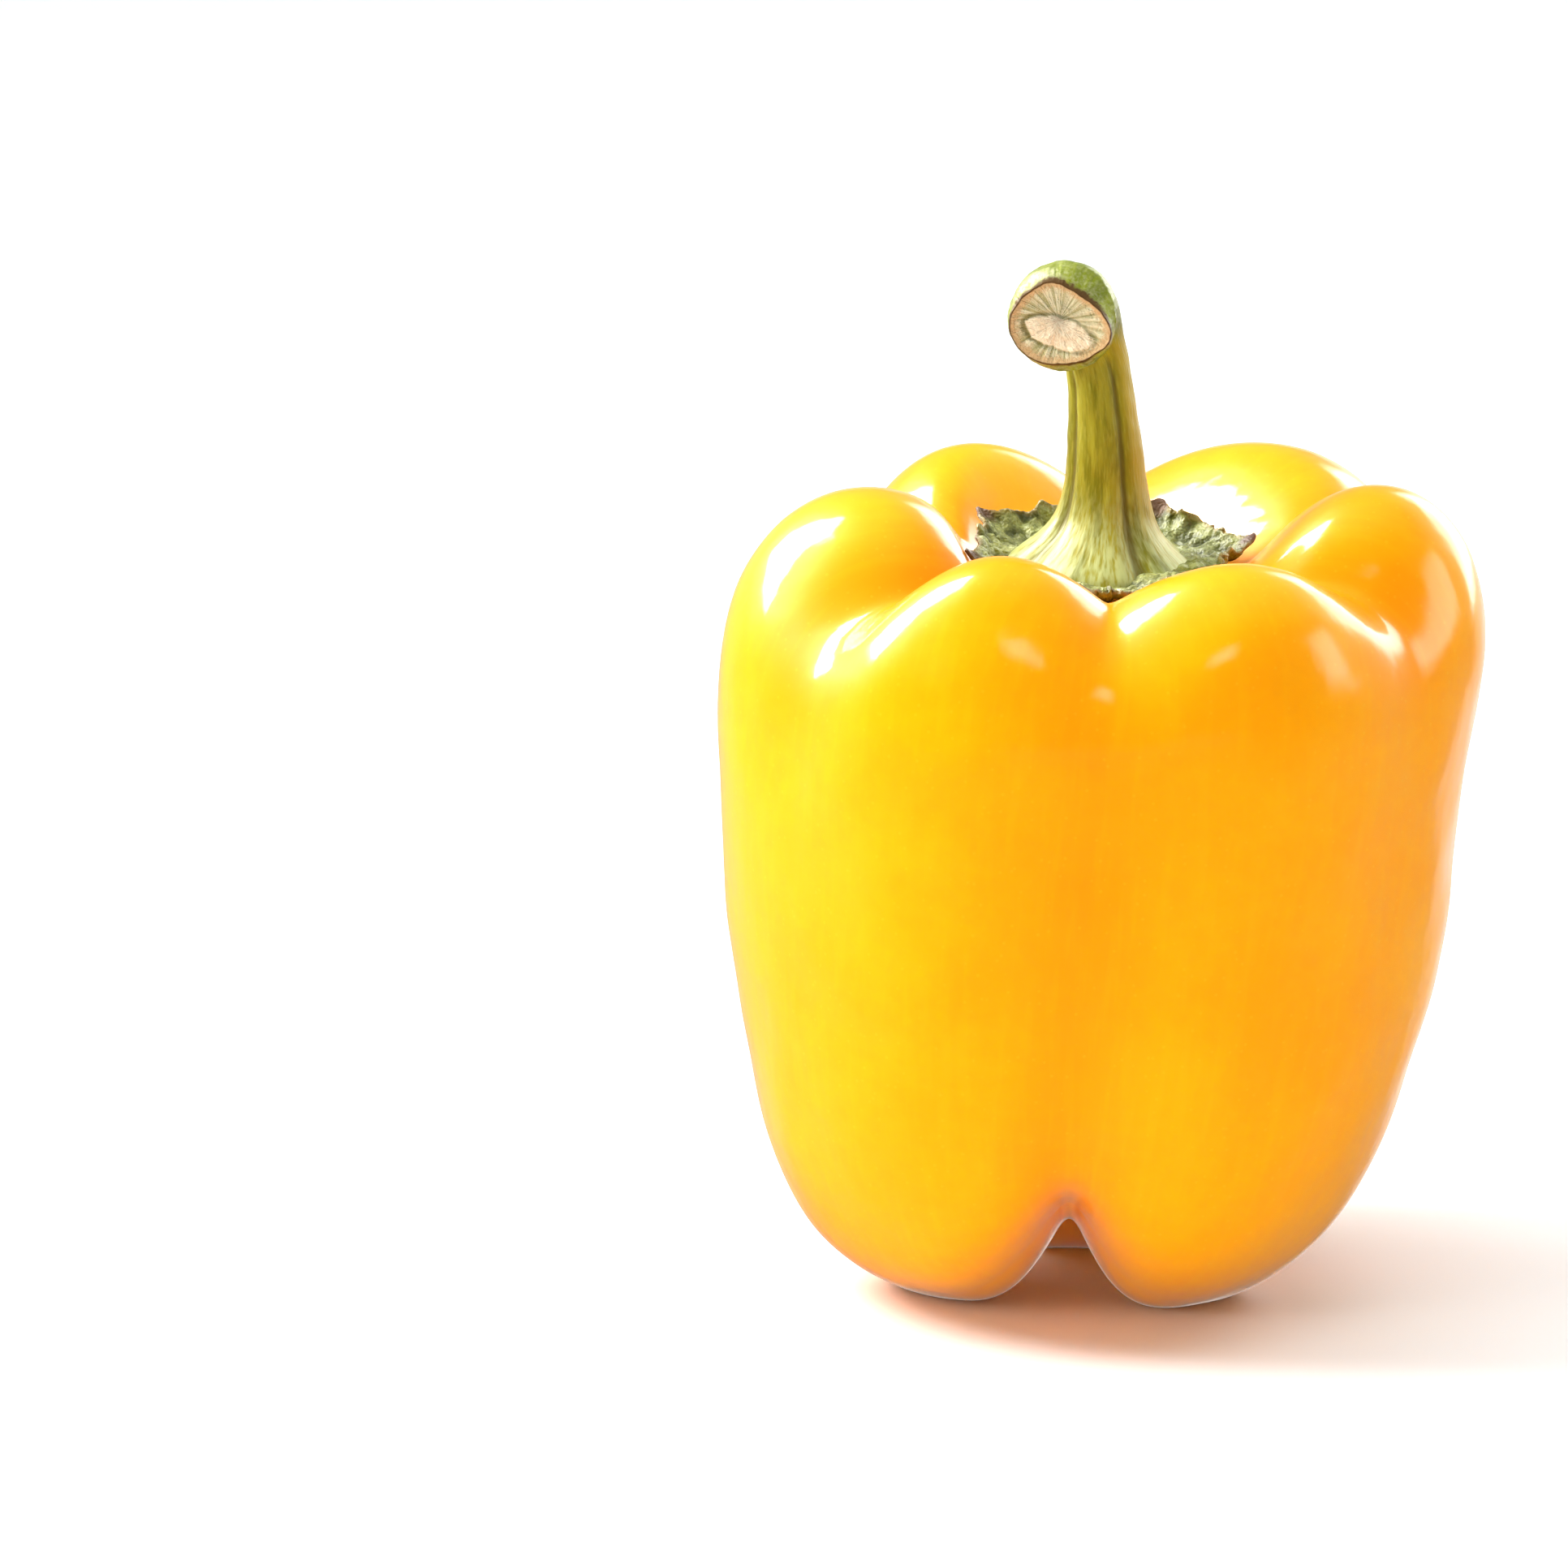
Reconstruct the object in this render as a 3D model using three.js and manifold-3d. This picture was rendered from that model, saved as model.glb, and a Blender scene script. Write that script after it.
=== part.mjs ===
// A bell pepper standing on its feet: the lobed fruit, the green calyx in the bowl of its crown, and the
// ribbed stalk, bent over at the top and cut off square. Millimetres, +Z up, front towards -Y.
import * as THREE from 'three';
import { mergeVertices } from 'three/addons/utils/BufferGeometryUtils.js';
import Module from 'manifold-3d';

const { clamp, degToRad, lerp, smoothstep } = THREE.MathUtils;

// ---- driving dimensions ----------------------------------------------------------------------------

const CROWN_HEIGHT = 94;          // nominal height of the shoulders above the table
const LEAN = 3.3;                 // how far the crown stands to the right of the feet
const TWIST = [-2, 3];            // turn of the lobes at the table and at the crown, in degrees
const GAP = 0.35;                 // clearance between neighbouring pieces

// Where the folds between the lobes run, in degrees to the right of the front: over the body, and in the
// bowl of the crown. Folds between two fruit chambers are deep and run from the crown to the feet; the
// others are shallow and fade half way down.
const FOLDS = [0, 58, 104, 177, 240, 305, 360];
const BOWL_FOLDS = [0, 49, 104, 177, 240, 316, 360];
const BOWL_BEGINS = 11.5;         // station where the folds start to turn towards their place in the bowl
const BOWL_LENGTH = 3;            // stations that the turn takes

// How deep each fold is, low on the body and at the crown.
const LOW_PINCH = [0.85, 1, 0.7, 1, 0.85, 1, 0.85];
const CROWN_PINCH = [0.68, 1, 0.9, 1, 1, 1.3, 0.68];
const PINCH_CHANGES = [45, 85];   // heights between which one gives way to the other

// What the six lobes have of their own, in order from the right of the front fold: front right, right,
// back right, back left, left, front left. Reach scales a shoulder's radius, rise lifts it, tuck leans its
// crest in over the bowl, and foot rise lifts its end at the table.
const REACH = [1, 1.04, 1.06, 0.96, 0.975, 0.98];
const RISE = [-2.9, 2.2, 0.4, 0.4, 1.6, -1.4];
const TUCK = [0, 1.4, 0, 0, 5.5, 0];
const FOOT_RISE = [0.9, -0.9, 0, 0, -0.9, 1.9];
const FOOT_RISE_TO = 26;          // height where the foot rise has gone
const FOOT_RISE_RADIUS = 20;      // radius from which it is whole

// Control stations up the skin: from the dimple underneath, over a foot, up the side and over the shoulder
// into the bowl. Each gives [radius, height] on a lobe's back, the change to both in a deep fold and in a
// shallow one, the fold's [softness, narrowness], how much of REACH and RISE counts there, and of TUCK.
const STATIONS = [
  [[0.0, 10.0], [0.0, 0.0], [0.0, 0.0], [0.25, 1.6], 0, 0],
  [[5.0, 9.0], [0.0, 0.0], [0.0, 0.0], [0.22, 1.6], 0, 0],
  [[9.5, 2.0], [0.5, 8.8], [0.0, 0.0], [0.18, 1.8], 0, 0],
  [[14.5, -1.6], [0.5, 14.0], [0.0, 0.0], [0.14, 1.9], 0, 0],
  [[22.4, 1.2], [0.0, 15.2], [0.0, 0.0], [0.14, 2.0], 0, 0],
  [[30.0, 6.4], [-2.0, 12.8], [0.0, 0.0], [0.18, 2.0], 0, 0],
  [[35.6, 15.2], [-4.5, 8.0], [0.0, 0.0], [0.26, 2.0], 0, 0],
  [[39.4, 27.5], [-5.0, 3.0], [0.0, 0.0], [0.20, 2.4], 0.3, 0],
  [[41.6, 41.0], [-4.8, 0.5], [0.0, 0.0], [0.16, 2.8], 0.6, 0],
  [[42.8, 54.0], [-4.2, 0.0], [-0.3, 0.0], [0.16, 2.8], 0.1, 0],
  [[44.0, 67.0], [-3.8, 0.0], [-1.0, 0.0], [0.18, 2.6], 0.4, 0],
  [[45.0, 78.5], [-5.0, -1.5], [-2.6, -0.6], [0.22, 1.9], 0.8, 0],
  [[42.4, 88.3], [-8.0, -4.5], [-5.4, -3.6], [0.12, 2.1], 1, 0.1],
  [[35.2, 94.9], [-8.6, -8.0], [-5.4, -7.2], [0.07, 2.4], 1, 0.35],
  [[27.2, 94.6], [-6.0, -9.0], [-3.0, -9.0], [0.06, 2.3], 0.8, 1.1],
  [[20.3, 88.0], [-2.0, -4.6], [-1.0, -4.2], [0.12, 1.8], 0.4, 0.8],
  [[14.5, 83.4], [0.0, -1.4], [0.0, -1.0], [0.20, 1.5], 0, 0],
  [[7.0, 82.4], [0.0, 0.0], [0.0, 0.0], [0.25, 1.6], 0, 0],
  [[0.0, 82.4], [0.0, 0.0], [0.0, 0.0], [0.25, 1.6], 0, 0],
];
const FRUIT_ROUND = 66;           // facets round the fruit
const FRUIT_RISE = 40;            // facets from the dimple to the bowl
const TABLE = 200;                // size of the block that levels the feet

// Calyx: six teeth and the edge between them, as [degrees to the right of the front, radius, height].
const CALYX_RIM = [
  [-8, 16.2, 87.0], [18, 14.8, 85.6], [45, 16.6, 87.6], [74, 14.2, 86.8],
  [103, 16.4, 88.2], [130, 15.0, 88.0], [156, 16.4, 90.2], [197, 14.2, 89.4],
  [238, 15.8, 90.4], [267, 13.8, 87.6], [294, 14.4, 88.6], [324, 14.6, 86.6],
];
const CALYX_TOP = 85.2;           // height of the level middle, under the stalk
const CALYX_MIDDLE = 0.72;        // share of the radius that is level
const CALYX_THICK = 1.5;          // thickness in the middle
const CALYX_THIN = 0.7;           // thickness at the rim
const CALYX_ROUND = 60;
const CALYX_RINGS = 5;            // rings of facets from the level middle to the rim

// Stalk: its centre line relative to the crown's axis, and its radius at distances along that line.
const STALK_FOOT = CALYX_TOP + GAP;
const STALK_LINE = [
  [0.3, 0.4, STALK_FOOT], [0.3, 0.4, 88.5], [0.5, 0.6, 93], [0.45, 0.8, 98], [0.15, 1.1, 103],
  [-0.4, 1.3, 107.8], [-1.1, 0.9, 111.0], [-2.2, -0.6, 113.6], [-3.5, -3.0, 115.1], [-4.55, -5.5, 115.4],
  [-5.1, -7.9, 115.3],
];
const STALK_RADII = [
  [0, 10.2], [1.2, 9.7], [2.8, 7.9], [4.2, 6.6], [5.8, 5.7], [8, 5.1], [11, 4.6], [14, 4.3], [18, 3.9],
  [22.5, 3.72], [25.5, 3.95], [28.5, 4.7], [31.5, 5.8], [34, 6.5], [36.4, 6.3],
];
// Outline of the cut: radius every 45 degrees, from the bottom of the cut by way of its right.
const CUT_OUTLINE = [4.9, 5.6, 6.1, 4.3, 4.4, 4.6, 5.5, 5.6];
const CUT_BLENDS_FROM = 0.9;      // share of the stalk's length
const STALK_ROUND = 30;
const STALK_STEPS = 24;
const STALK_DIVISIONS = 400;      // steps in which the centre line is measured
const GROOVES = [27, 98, 165, 230, 302];
const GROOVE_WIDTH = 14;          // degrees
const GROOVE_DEPTH = 0.1;         // of the radius
const GROOVES_END = [0.6, 0.8];   // shares of the length between which they fade out

// ---- shared geometry -------------------------------------------------------------------------------

// Point t along a uniform cubic B-spline through rows of numbers; both ends are mirrored, and the first
// number of each row, a radius, changes sign there, so the surface crosses the axis level.
function alongSpline(rows, t) {
  const last = rows.length - 1;
  const start = Math.min(Math.floor(t), last - 1);
  const u = t - start;
  const weights = [(1 - u) ** 3, 3 * u ** 3 - 6 * u ** 2 + 4, 1 + 3 * u + 3 * u ** 2 - 3 * u ** 3, u ** 3];
  const row = (i) => {
    const mirrored = i < 0 || i > last;
    const inside = i < 0 ? -i : i > last ? 2 * last - i : i;
    return rows[inside].map((value, k) => (mirrored && k === 0 ? -value : value));
  };
  const total = rows[0].map(() => 0);
  weights.forEach((weight, k) => {
    row(start - 1 + k).forEach((value, column) => { total[column] += (weight * value) / 6; });
  });
  return total;
}

// Closed surface from a half outline turned round the axis, each point then moved by place(turn, rise),
// where turn runs 0 to 1 round the axis and rise 0 to 1 along the outline.
function shapedLathe(outline, segments, place) {
  const geometry = new THREE.LatheGeometry(outline, segments);
  const { position, uv } = geometry.attributes;
  for (let i = 0; i < position.count; i += 1) {
    const point = place(uv.getX(i), uv.getY(i));
    position.setXYZ(i, point.x, point.y, point.z);
  }
  geometry.deleteAttribute('uv');
  geometry.deleteAttribute('normal');
  return mergeVertices(geometry);
}

function asSolid(wasm, geometry) {
  const mesh = new wasm.Mesh({
    numProp: 3,
    vertProperties: Float32Array.from(geometry.attributes.position.array),
    triVerts: Uint32Array.from(geometry.index.array),
  });
  return new wasm.Manifold(mesh);
}

function asGeometry(solid) {
  const { vertProperties, triVerts } = solid.getMesh();
  const geometry = new THREE.BufferGeometry();
  geometry.setAttribute('position', new THREE.BufferAttribute(vertProperties, 3));
  geometry.setIndex(new THREE.BufferAttribute(triVerts, 1));
  geometry.computeVertexNormals();
  return geometry;
}

function piece(name, geometry, colour, roughness) {
  const material = new THREE.MeshStandardMaterial({ color: colour, roughness, metalness: 0 });
  const mesh = new THREE.Mesh(geometry, material);
  mesh.name = name;
  return mesh;
}

// ---- fruit -----------------------------------------------------------------------------------------

// Angle of a place between folds: 0 is the front fold, 0.5 the back of the first lobe, and so on.
function foldAngle(angles, folds) {
  const start = Math.min(Math.floor(folds), angles.length - 2);
  return lerp(angles[start], angles[start + 1], folds - start);
}

// Smooth value between the lobes' own values, which hold at the lobes' backs.
function lobeValue(values, folds) {
  const start = Math.floor(folds - 0.5);
  const u = folds - 0.5 - start;
  const [a, b, c, d] = [-1, 0, 1, 2].map((k) => values[(start + k + values.length) % values.length]);
  return b + 0.5 * u * (c - a + u * (2 * a - 5 * b + 4 * c - d + u * (3 * (b - c) + d - a)));
}

// Depth of a fold, 1 at its bottom and 0 away from it, for the sine of the angle to its bottom.
function foldDepth(sine, softness, narrowness) {
  const closeness = (1 - Math.hypot(sine, softness)) / (1 - softness);
  return Math.max(closeness, 0) ** narrowness;
}

// Pinch of the folds, which changes smoothly from each fold to the next.
function pinchValue(pinches, folds) {
  const start = Math.min(Math.floor(folds), pinches.length - 2);
  return lerp(pinches[start], pinches[start + 1], smoothstep(folds - start, 0, 1));
}

// The skin's columns of facets follow the folds, so that creases stay crisp.
function skinPoint(turn, rise) {
  const station = rise * (STATIONS.length - 1);
  const rows = STATIONS.map((row) => row.flat());
  const [radius, height, deepIn, deepDown, lowIn, lowDown, softness, narrowness, share, tucked] =
    alongSpline(rows, station);
  const atBowl = smoothstep(station, BOWL_BEGINS, BOWL_BEGINS + BOWL_LENGTH);
  const folds = turn * (FOLDS.length - 1);
  const atCrown = clamp((height - PINCH_CHANGES[0]) / (PINCH_CHANGES[1] - PINCH_CHANGES[0]), 0, 1);
  const pinch = lerp(pinchValue(LOW_PINCH, folds), pinchValue(CROWN_PINCH, folds), atCrown);
  const deep = pinch * foldDepth(Math.sin(folds * Math.PI / 2), softness, narrowness);
  const low = pinch * foldDepth(Math.cos(folds * Math.PI / 2), softness, narrowness);
  const reach = 1 + (lobeValue(REACH, folds) - 1) * share;
  const r = (radius + deep * deepIn + low * lowIn) * reach - lobeValue(TUCK, folds) * tucked;
  const atFoot = clamp(1 - height / FOOT_RISE_TO, 0, 1) * clamp(radius / FOOT_RISE_RADIUS, 0, 1) ** 2;
  const z = height + deep * deepDown + low * lowDown + lobeValue(RISE, folds) * share
    + lobeValue(FOOT_RISE, folds) * atFoot;
  const twist = lerp(...TWIST, clamp(z / CROWN_HEIGHT, 0, 1));
  const angle = degToRad(lerp(foldAngle(FOLDS, folds), foldAngle(BOWL_FOLDS, folds), atBowl) + twist);
  return new THREE.Vector3(r * Math.sin(angle) + LEAN * z / CROWN_HEIGHT, -r * Math.cos(angle), z);
}

function makeFruit(wasm) {
  const outline = [];
  for (let i = 0; i <= FRUIT_RISE; i += 1) {
    const rise = i / FRUIT_RISE;
    outline.push(new THREE.Vector2(Math.sin(rise * Math.PI), rise));
  }
  const skin = shapedLathe(outline, FRUIT_ROUND, skinPoint);
  const table = new THREE.BoxGeometry(TABLE, TABLE, TABLE).translate(0, 0, -TABLE / 2);
  table.deleteAttribute('uv');
  table.deleteAttribute('normal');
  return asGeometry(asSolid(wasm, skin).subtract(asSolid(wasm, mergeVertices(table))));
}

// ---- calyx -----------------------------------------------------------------------------------------

function makeCalyx() {
  const rim = new THREE.CatmullRomCurve3(CALYX_RIM.map(([degrees, r, z]) => {
    const angle = degToRad(degrees);
    return new THREE.Vector3(r * Math.sin(angle), -r * Math.cos(angle), z);
  }), true);
  const outward = [0];
  for (let i = 0; i <= CALYX_RINGS; i += 1) {
    outward.push(lerp(CALYX_MIDDLE, 1, i / CALYX_RINGS));
  }
  const outline = [
    ...outward.map((reach) => new THREE.Vector2(reach, -1)),
    ...outward.toReversed().map((reach) => new THREE.Vector2(reach, 0)),
  ];
  return shapedLathe(outline, CALYX_ROUND, (turn, rise) => {
    const { x: reach, y: under } = outline[Math.round(rise * (outline.length - 1))];
    const edge = rim.getPoint(turn);
    const lift = clamp((reach - CALYX_MIDDLE) / (1 - CALYX_MIDDLE), 0, 1) ** 2;
    const thickness = lerp(CALYX_THICK, CALYX_THIN, lift);
    const z = lerp(CALYX_TOP, edge.z, lift) + under * thickness;
    return new THREE.Vector3(edge.x * reach + LEAN, edge.y * reach, z);
  });
}

// ---- stalk -----------------------------------------------------------------------------------------

function makeStalk() {
  const line = new THREE.CatmullRomCurve3(STALK_LINE.map(([x, y, z]) => new THREE.Vector3(x + LEAN, y, z)));
  line.arcLengthDivisions = STALK_DIVISIONS;
  const radii = new THREE.SplineCurve(
    STALK_RADII.map(([along, r]) => new THREE.Vector2(along / STALK_RADII.at(-1)[0], r)));
  const cut = new THREE.CatmullRomCurve3(CUT_OUTLINE.map((r, i) => new THREE.Vector3(r, i, 0)), true);

  const outline = [new THREE.Vector2(0, 0)];
  for (let i = 0; i <= STALK_STEPS; i += 1) {
    const { x: along, y: r } = radii.getPoint(i / STALK_STEPS);
    outline.push(new THREE.Vector2(r, along));
  }
  outline.push(new THREE.Vector2(0, 1));

  return shapedLathe(outline, STALK_ROUND, (turn, rise) => {
    const { x: r, y: along } = outline[Math.round(rise * (outline.length - 1))];
    const centre = line.getPointAt(Math.min(along, 1));
    const forward = line.getTangentAt(Math.min(along, 1));
    const right = new THREE.Vector3(1, 0, 0).addScaledVector(forward, -forward.x).normalize();
    const front = new THREE.Vector3().crossVectors(right, forward);
    const groove = GROOVES.reduce((sum, place) => {
      const away = THREE.MathUtils.euclideanModulo(turn * 360 - place + 180, 360) - 180;
      return sum + Math.exp(-((away / GROOVE_WIDTH) ** 2));
    }, 0);
    const grooved = r * (1 - GROOVE_DEPTH * groove * (1 - smoothstep(along, ...GROOVES_END)));
    const toCut = r > 0 ? clamp((along - CUT_BLENDS_FROM) / (1 - CUT_BLENDS_FROM), 0, 1) ** 2 : 0;
    const radius = lerp(grooved, cut.getPoint(turn).x, toCut);
    const angle = turn * 2 * Math.PI;
    return centre
      .addScaledVector(right, radius * Math.sin(angle))
      .addScaledVector(front, radius * Math.cos(angle));
  });
}

// ---- assembly --------------------------------------------------------------------------------------

const wasm = await Module();
wasm.setup();

const standing = new THREE.Group();
standing.add(
  piece('fruit', makeFruit(wasm), 0xffb400, 0.18),
  piece('calyx', makeCalyx(), 0x6f8a3c, 0.6),
  piece('stem', makeStalk(), 0x8a9a35, 0.5),
);

// The origin is on the table, under the middle of the pepper's bounding box.
const middle = new THREE.Box3().setFromObject(standing, true).getCenter(new THREE.Vector3());
standing.position.set(-middle.x, -middle.y, 0);

const pepper = new THREE.Group();
pepper.add(standing);
pepper.updateMatrixWorld(true);

export default pepper;
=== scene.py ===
"""A yellow bell pepper standing on a pale table, in metres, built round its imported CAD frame."""

import math

import bpy
import numpy as np
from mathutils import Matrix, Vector, noise


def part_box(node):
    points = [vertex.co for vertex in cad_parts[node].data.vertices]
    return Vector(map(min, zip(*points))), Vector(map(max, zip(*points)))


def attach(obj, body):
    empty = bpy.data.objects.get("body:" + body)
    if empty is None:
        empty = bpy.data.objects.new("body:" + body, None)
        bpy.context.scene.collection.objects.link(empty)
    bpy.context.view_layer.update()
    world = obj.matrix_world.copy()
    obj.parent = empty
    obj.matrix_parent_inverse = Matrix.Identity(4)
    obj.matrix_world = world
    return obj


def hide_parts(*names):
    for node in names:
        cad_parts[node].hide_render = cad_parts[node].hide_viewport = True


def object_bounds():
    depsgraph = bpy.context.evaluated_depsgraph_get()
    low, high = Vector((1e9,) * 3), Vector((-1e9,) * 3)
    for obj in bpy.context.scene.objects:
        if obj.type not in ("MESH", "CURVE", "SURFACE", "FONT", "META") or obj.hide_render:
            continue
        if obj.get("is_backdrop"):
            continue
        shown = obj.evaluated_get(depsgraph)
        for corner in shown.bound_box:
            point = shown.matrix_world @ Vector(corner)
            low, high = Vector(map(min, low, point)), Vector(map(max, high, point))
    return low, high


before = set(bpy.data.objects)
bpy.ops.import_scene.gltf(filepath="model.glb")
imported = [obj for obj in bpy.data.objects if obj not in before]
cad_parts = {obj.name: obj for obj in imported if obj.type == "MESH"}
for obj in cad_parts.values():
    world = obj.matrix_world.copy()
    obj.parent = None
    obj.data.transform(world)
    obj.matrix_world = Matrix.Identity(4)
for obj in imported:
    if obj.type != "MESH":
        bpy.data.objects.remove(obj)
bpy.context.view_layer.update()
MM = 0.001


# ---- Fruit -----------------------------------------------------------------------------------------
# The body of the pepper: three chambers that close in three feet below and swell into six shoulders
# above, round a bowl for the calyx. Thick, juicy wall under a thin waxy skin, grown in one piece.

# Sizes are in mm and angles in degrees. First the height of the shoulders, the fruit's lean to the right up
# there, and its turn at the foot and at the crown.
CROWN_HEIGHT = 94.0
LEAN = 3.3
TWIST = (-2.0, 3.0)
# Angles of the folds, deep and shallow in turn, from the front round to the right, first on the body and
# then in the bowl.
FOLDS = [0, 58, 104, 177, 240, 305, 360]
BOWL_FOLDS = [0, 49, 104, 177, 240, 316, 360]
# The station where the folds leave the first angles, and how many later they have the second.
BOWL_FROM = 11.5
BOWL_OVER = 3
# How deep each fold is, low on the body and at the crown, and the height from which and over which the
# first depth goes over into the second.
LOW_PINCH = [0.85, 1.0, 0.7, 1.0, 0.85, 1.0, 0.85]
CROWN_PINCH = [0.68, 1.0, 0.9, 1.0, 1.0, 1.3, 0.68]
PINCH_FROM = 45
PINCH_OVER = 40
# How far out each lobe stands, as a share of the radius, and how much higher its shoulder is.
REACH = [1.00, 1.04, 1.06, 0.96, 0.975, 0.98]
RISE = [-2.9, 2.2, 0.4, 0.4, 1.6, -1.4]
# How far each crest leans in over the bowl.
TUCK = [0.0, 1.4, 0.0, 0.0, 5.5, 0.0]
# How much higher each lobe ends at the feet, the height where that has gone, and the radius from which it
# counts in full.
FOOT_RISE = [0.9, -0.9, 0.0, 0.0, -0.9, 1.9]
FOOT_RISE_TO = 26.0
FOOT_RADIUS = 20
# Up the skin: lobe's radius and height, change in a deep fold and in a shallow one, fold's softness and
# narrowness, and how much of REACH and RISE and how much of TUCK counts.
STATIONS = [
    (0.0, 10.0, 0.0, 0.0, 0.0, 0.0, 0.25, 1.6, 0.0, 0.0),
    (5.0, 9.0, 0.0, 0.0, 0.0, 0.0, 0.22, 1.6, 0.0, 0.0),
    (9.5, 2.0, 0.5, 8.8, 0.0, 0.0, 0.18, 1.8, 0.0, 0.0),
    (14.5, -1.6, 0.5, 14.0, 0.0, 0.0, 0.14, 1.9, 0.0, 0.0),
    (22.4, 1.2, 0.0, 15.2, 0.0, 0.0, 0.14, 2.0, 0.0, 0.0),
    (30.0, 6.4, -2.0, 12.8, 0.0, 0.0, 0.18, 2.0, 0.0, 0.0),
    (35.6, 15.2, -4.5, 8.0, 0.0, 0.0, 0.26, 2.0, 0.0, 0.0),
    (39.4, 27.5, -5.0, 3.0, 0.0, 0.0, 0.20, 2.4, 0.3, 0.0),
    (41.6, 41.0, -4.8, 0.5, 0.0, 0.0, 0.16, 2.8, 0.6, 0.0),
    (42.8, 54.0, -4.2, 0.0, -0.3, 0.0, 0.16, 2.8, 0.1, 0.0),
    (44.0, 67.0, -3.8, 0.0, -1.0, 0.0, 0.18, 2.6, 0.4, 0.0),
    (45.0, 78.5, -5.0, -1.5, -2.6, -0.6, 0.22, 1.9, 0.8, 0.0),
    (42.4, 88.3, -8.0, -4.5, -5.4, -3.6, 0.12, 2.1, 1.0, 0.1),
    (35.2, 94.9, -8.6, -8.0, -5.4, -7.2, 0.07, 2.4, 1.0, 0.35),
    (27.2, 94.6, -6.0, -9.0, -3.0, -9.0, 0.06, 2.3, 0.8, 1.1),
    (20.3, 88.0, -2.0, -4.6, -1.0, -4.2, 0.12, 1.8, 0.4, 0.8),
    (14.5, 83.4, 0.0, -1.4, 0.0, -1.0, 0.2, 1.5, 0.0, 0.0),
    (7.0, 82.4, 0.0, 0.0, 0.0, 0.0, 0.25, 1.6, 0.0, 0.0),
    (0.0, 82.4, 0.0, 0.0, 0.0, 0.0, 0.25, 1.6, 0.0, 0.0),
]
# Height and size of the slow swellings of the skin, the radius where they have that height, and how fast
# they fade towards dimple and bowl.
SWELLING = 0.45
SWELLING_SIZE = 17.0
SWELLING_RADIUS = 44
SWELLING_FADE = 8
# A fold this deep gets the full painted shade, a deeper orange tint.
CREASE_SHADE_DEPTH = 4
# The brown scar of the flower: its radius, and a height between the dimple and the bowl.
SCAR_RADIUS = 4
SCAR_BELOW = 40
# The skin's grain is drawn on a cylinder of this radius, and stretched this many times up the skin.
GRAIN_RADIUS = 26
GRAIN_STRETCH = 14
# Mesh columns round the fruit, and rows from dimple to bowl.
FRUIT_ROUND = 360
FRUIT_RISE = 240


def along_spline(rows, t):
    """Points t along a uniform cubic B-spline through rows, mirrored at both ends across the axis."""
    rows = np.asarray(rows, float)
    mirror = np.ones(rows.shape[1])
    mirror[0] = -1
    padded = np.vstack([rows[1] * mirror, rows, rows[-2] * mirror])
    start = np.minimum(np.floor(t).astype(int), len(rows) - 2)
    u = (t - start)[:, None]
    weights = [(1 - u) ** 3, 3 * u**3 - 6 * u**2 + 4, 1 + 3 * u + 3 * u**2 - 3 * u**3, u**3]
    return sum(weight * padded[start + k] for k, weight in enumerate(weights)) / 6


def between_points(a, b, c, d, u):
    """Catmull-Rom curve from b to c, with a before them and d after, for u from 0 to 1."""
    return b + 0.5 * u * (c - a + u * (2 * a - 5 * b + 4 * c - d + u * (3 * (b - c) + d - a)))


def lobe_value(values, folds):
    """Smooth value between the lobes' own values, which hold at the lobes' backs."""
    start = np.floor(folds - 0.5).astype(int)
    neighbours = [np.array(values)[(start + k) % len(values)] for k in (-1, 0, 1, 2)]
    return between_points(*neighbours, folds - 0.5 - start)


def fold_depth(sine, softness, narrowness):
    """1 at the bottom of a fold and 0 away from it."""
    closeness = (1 - np.hypot(sine, softness)) / (1 - softness)
    return np.maximum(closeness, 0) ** narrowness


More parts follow.
